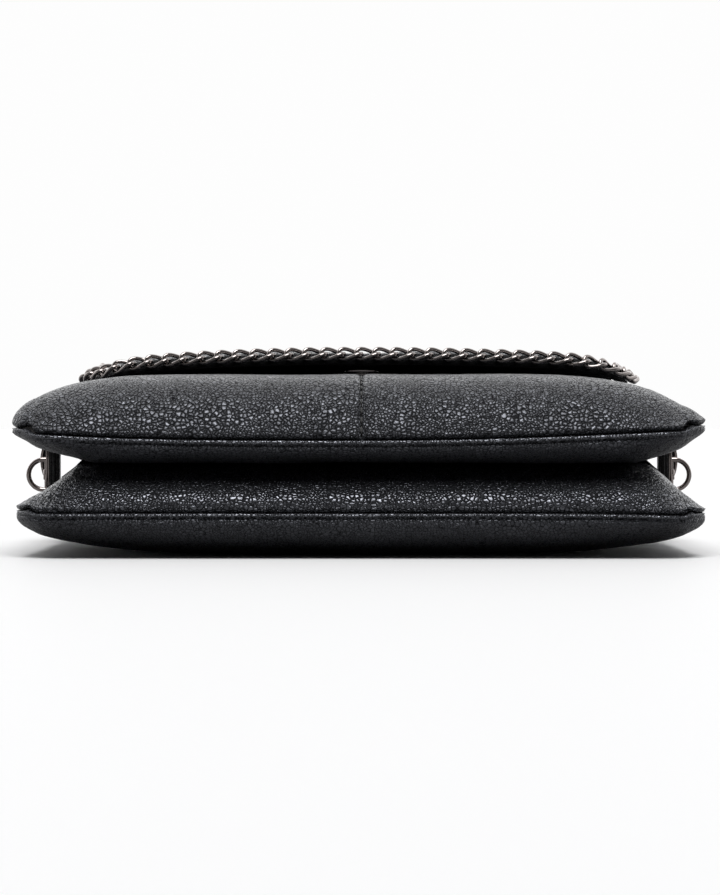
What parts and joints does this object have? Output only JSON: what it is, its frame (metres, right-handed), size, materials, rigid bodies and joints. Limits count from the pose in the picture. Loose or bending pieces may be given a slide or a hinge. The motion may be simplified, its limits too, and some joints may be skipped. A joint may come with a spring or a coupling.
{
  "type": "shoulder bag",
  "caption": "Two-compartment envelope shoulder bag lying on its back, with a chain-edged flap, magnetic snap and a swinging strap ring on each side.",
  "frame": {"origin": "middle of the ground under the bag, which lies on its back", "axes": "+Z out of the bag's front and up as it lies, +Y towards its mouth, -Y towards its bottom seam, X across its width"},
  "size_m": [0.3048, 0.1746, 0.0881],
  "materials": {
    "leather_outer": "black pebble-grain faux leather with a soft sheen",
    "leather_tab": "smooth black faux leather, folded and stitched",
    "lining": "dark woven lining",
    "gunmetal": "polished warm gunmetal plating",
    "magnet": "dull sintered magnet"
  },
  "bodies": {
    "bag": {"front_panel_left": "leather_outer", "front_panel_right": "leather_outer", "front_pouch_back_panel": "leather_outer", "front_pouch_lining": "lining", "rear_pouch_front_panel": "leather_outer", "rear_pouch_back_panel": "leather_outer", "rear_pouch_lining": "lining", "gusset_left": "leather_outer", "gusset_right": "leather_outer", "flap_hem": "leather_outer", "snap_socket": "gunmetal", "snap_magnet": "magnet", "snap_backing_plate": "gunmetal", "side_tab_left": "leather_tab", "side_tab_right": "leather_tab", "ring_keeper_left": "gunmetal", "ring_keeper_right": "gunmetal", "keeper_rivets_left": "gunmetal", "keeper_rivets_right": "gunmetal"},
    "flap_top": {"flap_top_leather": "leather_outer", "flap_top_lining": "lining"},
    "flap_front": {"flap_front_leather": "leather_outer", "flap_front_lining": "lining", "chain_left": "gunmetal", "chain_front": "gunmetal", "chain_right": "gunmetal", "snap_stud": "gunmetal"},
    "ring_left": {"d_ring_left": "gunmetal"},
    "ring_right": {"d_ring_right": "gunmetal"}
  },
  "joints": [
    {"name": "flap_root_fold", "type": "hinge", "parent": "bag", "child": "flap_top", "pos_m": [0, 0.08615, 0.00627], "axis": [-1, 0, 0], "range_deg": [0, 80]},
    {"name": "flap_front_fold", "type": "hinge", "parent": "flap_top", "child": "flap_front", "pos_m": [0, 0.08615, 0.0792], "axis": [-1, 0, 0], "range_deg": [0, 100]},
    {"name": "ring_left_swing", "type": "hinge", "parent": "bag", "child": "ring_left", "pos_m": [-0.143, 0.04835, 0.0314], "axis": [0, 0, 1], "range_deg": [-60, 60]},
    {"name": "ring_right_swing", "type": "hinge", "parent": "bag", "child": "ring_right", "pos_m": [0.143, 0.04835, 0.0314], "axis": [0, 0, 1], "range_deg": [-60, 60]}
  ]
}
